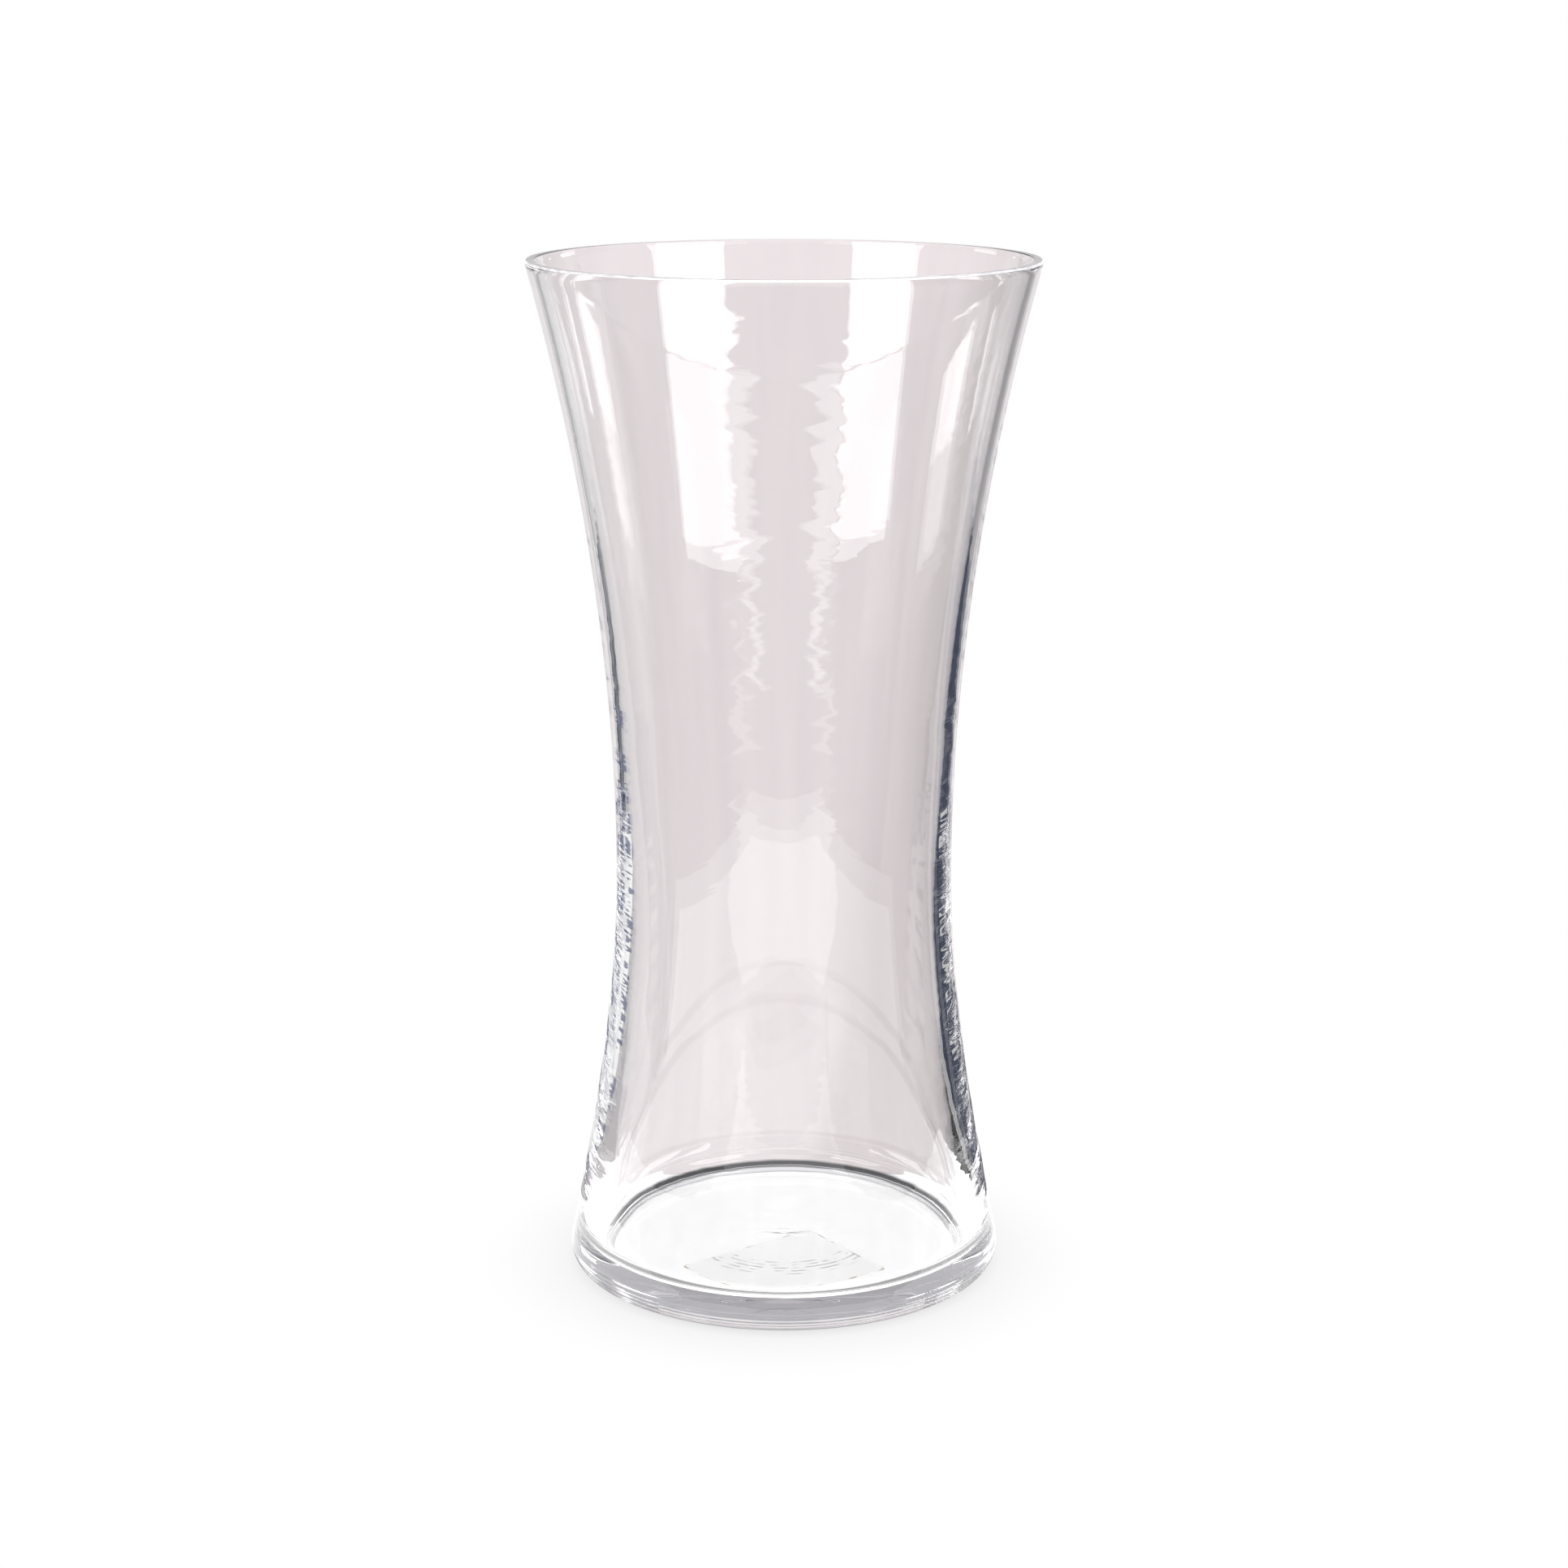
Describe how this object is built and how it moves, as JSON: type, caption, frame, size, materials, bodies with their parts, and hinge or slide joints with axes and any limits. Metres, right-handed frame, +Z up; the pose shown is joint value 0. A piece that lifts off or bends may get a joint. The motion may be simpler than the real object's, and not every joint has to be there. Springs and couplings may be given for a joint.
{
  "type": "glass vase",
  "caption": "Tall round clear glass vase with a narrow waist, a wide flared mouth and a heavy rounded foot, with a blank paper label stuck under its floor.",
  "frame": {"origin": "on the table, at the middle of the ring that the vase stands on", "axes": "+Z up along the vase's axis, from the foot to the mouth; -Y towards the label"},
  "size_m": [0.1466, 0.1466, 0.3],
  "materials": {
    "clear_glass": "clear, fire-polished",
    "label_paper": "matt"
  },
  "bodies": {
    "root": {"glass_body": "clear_glass", "base_label": "label_paper"}
  },
  "joints": []
}
